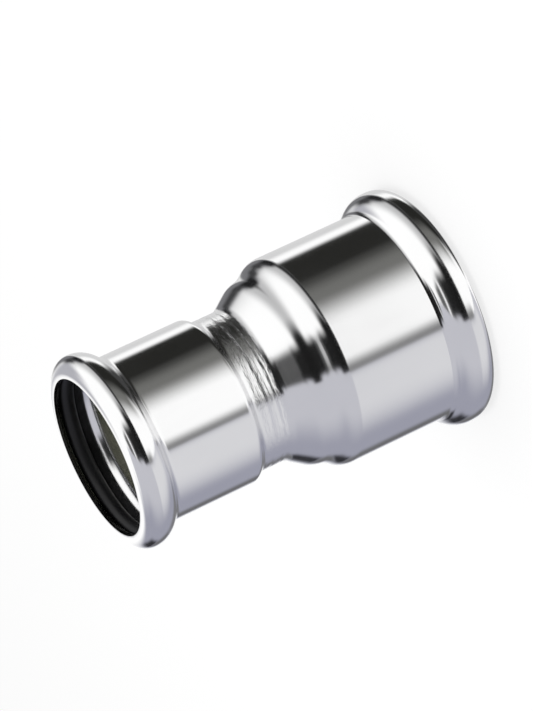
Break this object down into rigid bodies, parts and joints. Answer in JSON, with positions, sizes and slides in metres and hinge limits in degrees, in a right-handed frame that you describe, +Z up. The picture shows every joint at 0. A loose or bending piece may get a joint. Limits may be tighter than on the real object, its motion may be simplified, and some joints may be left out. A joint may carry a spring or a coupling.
{
  "type": "reducing socket",
  "caption": "Straight reducing socket with a rolled sealing bead at each mouth and a tapered neck between its wide and narrow ends.",
  "frame": {"origin": "centre of the large mouth's rim plane, which is the middle of the base that the part stands on", "axes": "+Z up the common axis of both sockets, from the large mouth to the small one; X and Y are free, because the part is round"},
  "size_m": [0.0652, 0.0652, 0.1],
  "materials": {
    "bright_steel": "bright plated steel with fine forming lines round the neck",
    "seal_rubber": "smooth black seal rubber with a slight grease sheen"
  },
  "bodies": {
    "root": {"fitting_body": "bright_steel", "small_seal": "seal_rubber", "large_seal": "seal_rubber"}
  },
  "joints": []
}
